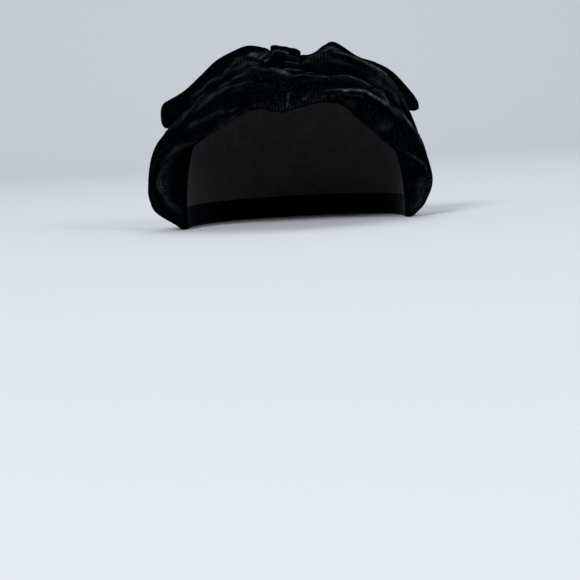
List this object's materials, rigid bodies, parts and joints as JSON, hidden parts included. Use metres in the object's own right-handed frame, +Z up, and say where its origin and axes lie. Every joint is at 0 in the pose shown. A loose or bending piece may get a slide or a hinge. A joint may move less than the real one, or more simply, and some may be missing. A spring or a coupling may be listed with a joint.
{
  "type": "velvet cocktail hat",
  "caption": "Draped black velvet cocktail hat with a rolled brim over the brow and a flat bow on top, standing on the rim of its cap.",
  "frame": {"origin": "on the surface the hat stands on, under the middle of the whole hat", "axes": "+Z up, -Y to the front where the brow shows, +X to the right as seen from the front"},
  "size_m": [0.1966, 0.1608, 0.1235],
  "materials": {
    "velvet": "black cotton velvet with a soft grey sheen on the folds"
  },
  "bodies": {
    "root": {"cap": "velvet", "brim": "velvet", "drape": "velvet", "bow_loop_left": "velvet", "bow_loop_right": "velvet", "bow_knot": "velvet"}
  },
  "joints": []
}
